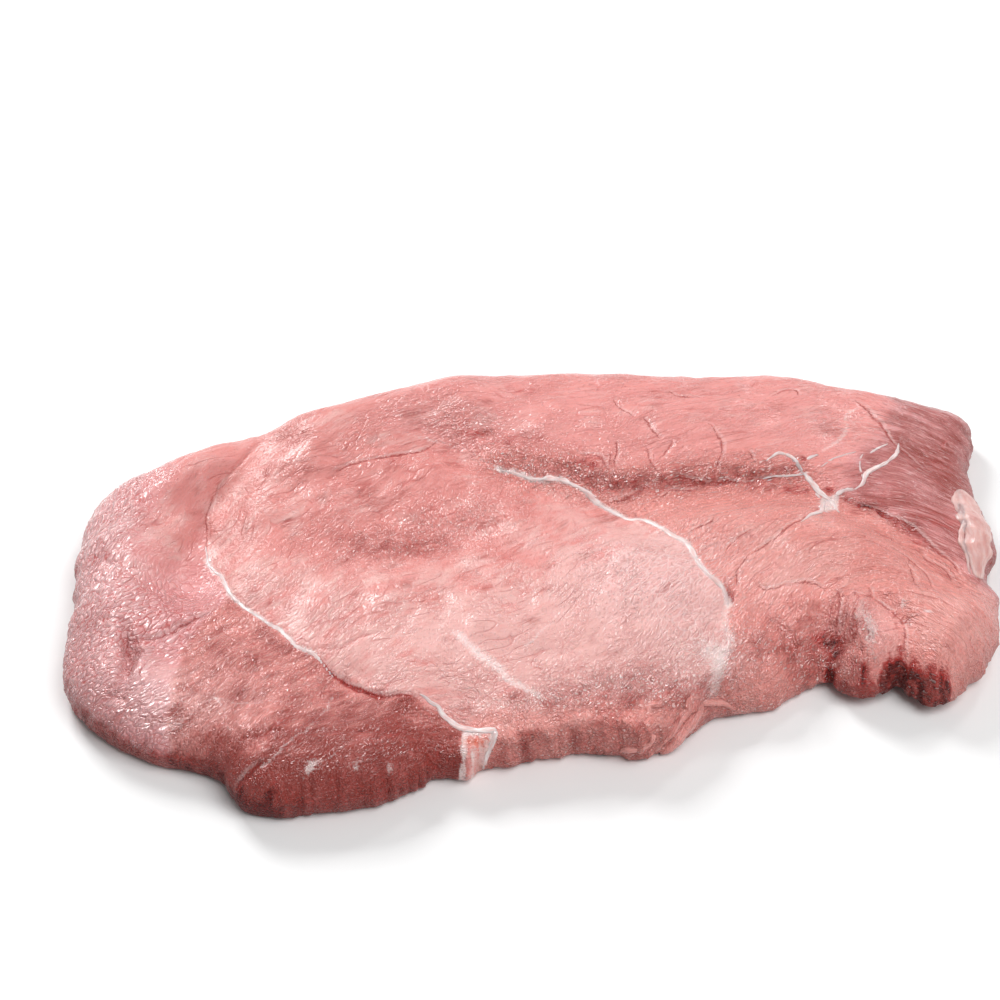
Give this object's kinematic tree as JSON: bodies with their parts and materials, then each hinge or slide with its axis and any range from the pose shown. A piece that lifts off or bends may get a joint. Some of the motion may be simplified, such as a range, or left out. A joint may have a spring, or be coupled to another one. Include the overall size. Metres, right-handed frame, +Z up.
{
  "type": "veal escalope",
  "caption": "Raw veal escalope: a thin slice cut across the leg, with several muscles, sinew seams, a rolled edge and a flat underside.",
  "frame": {"origin": "middle of the slice's overall box, on the plane of its flat underside", "axes": "+X along the slice, its longest way; +Y across it, from the ragged front edge to the smooth back edge; +Z up, through its thickness"},
  "size_m": [0.2002, 0.1362, 0.0147],
  "materials": {
    "meat": "raw pink veal, moist and softly glossy, with light scattered a little way into it",
    "sinew": "thin white to pale pink sinew and connective tissue, moist, slightly see-through",
    "fat": "creamy white fat, waxy and moist"
  },
  "bodies": {
    "root": {"escalope": "meat"}
  },
  "joints": []
}
